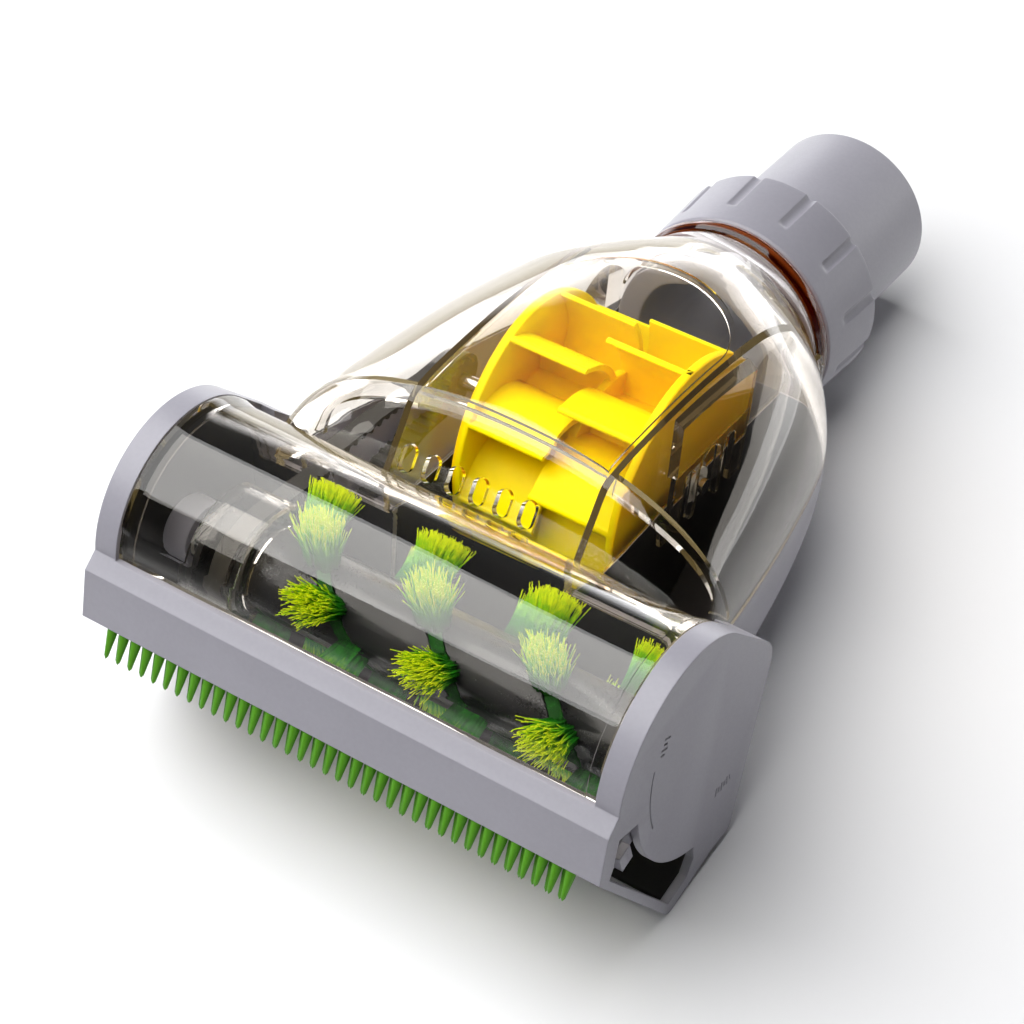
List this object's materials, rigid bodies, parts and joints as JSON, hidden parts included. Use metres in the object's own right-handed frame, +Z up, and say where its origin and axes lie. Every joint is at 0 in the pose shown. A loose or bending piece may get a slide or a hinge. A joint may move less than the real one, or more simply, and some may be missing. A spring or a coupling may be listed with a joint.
{
  "type": "vacuum turbo brush",
  "caption": "Air-driven brush nozzle for a vacuum cleaner: clear cover, bladed turbine, belt-driven bristle roller, fluted lock collar and swivelling hose tube.",
  "frame": {"origin": "centre of the footprint, on the surface that the brush lies on", "axes": "+Z up, +Y towards the hose end, -Y towards the brush roller, +X towards the end with the finger window"},
  "size_m": [0.135, 0.2302, 0.0775],
  "materials": {
    "grey_plastic": "fine grained satin, mid grey with a violet tint",
    "clear_smoke": "polished clear with a smoky tint",
    "clear_amber": "polished clear amber",
    "yellow_plastic": "satin, bright yellow",
    "green_rubber": "soft matt green",
    "green_bristle": "fine nylon fibres, yellow-green",
    "black_plastic": "satin black",
    "black_rubber": "matt black belt rubber",
    "steel": "ground steel",
    "white_bush": "plain off-white acetal"
  },
  "bodies": {
    "nozzle": {"lower_housing": "grey_plastic", "upper_cover": "clear_smoke", "comb_strip": "green_rubber", "timing_belt": "black_rubber", "belt_guard": "clear_smoke", "roller_bearing_left": "white_bush", "turbine_bearing_left": "white_bush", "turbine_bearing_right": "white_bush", "neck_ring": "clear_amber"},
    "roller": {"brush_core": "black_plastic", "bristle_row_a": "green_bristle", "bristle_row_b": "green_bristle", "roller_pulley": "black_plastic"},
    "turbine": {"turbine_wheel": "yellow_plastic", "turbine_shaft": "steel", "drive_pulley": "black_plastic"},
    "roller_lock_lever": {"roller_lock": "grey_plastic", "roller_bearing_right": "white_bush"},
    "collar": {"lock_collar": "grey_plastic"},
    "tube": {"hose_tube": "grey_plastic"}
  },
  "joints": [
    {"name": "roller_spin", "type": "hinge", "parent": "nozzle", "child": "roller", "pos_m": [0, -0.07794, 0.04321], "axis": [1, 0, 0], "continuous": true},
    {"name": "turbine_spin", "type": "hinge", "parent": "nozzle", "child": "turbine", "pos_m": [0, -0.00374, 0.03792], "axis": [1, 0, 0], "continuous": true},
    {"name": "roller_lock_turn", "type": "hinge", "parent": "nozzle", "child": "roller_lock_lever", "pos_m": [0, -0.07794, 0.04321], "axis": [1, 0, 0], "range_deg": [0, 20]},
    {"name": "collar_turn", "type": "hinge", "parent": "nozzle", "child": "collar", "pos_m": [0, 0.05035, 0.03162], "axis": [0, 0.9872, -0.1593], "range_deg": [0, 20]},
    {"name": "tube_swivel", "type": "hinge", "parent": "nozzle", "child": "tube", "pos_m": [0, 0.05035, 0.03162], "axis": [0, 0.9872, -0.1593], "continuous": true}
  ],
  "couplings": [
    {"joint": "roller_spin", "follows": "turbine_spin", "ratio": 0.5}
  ]
}
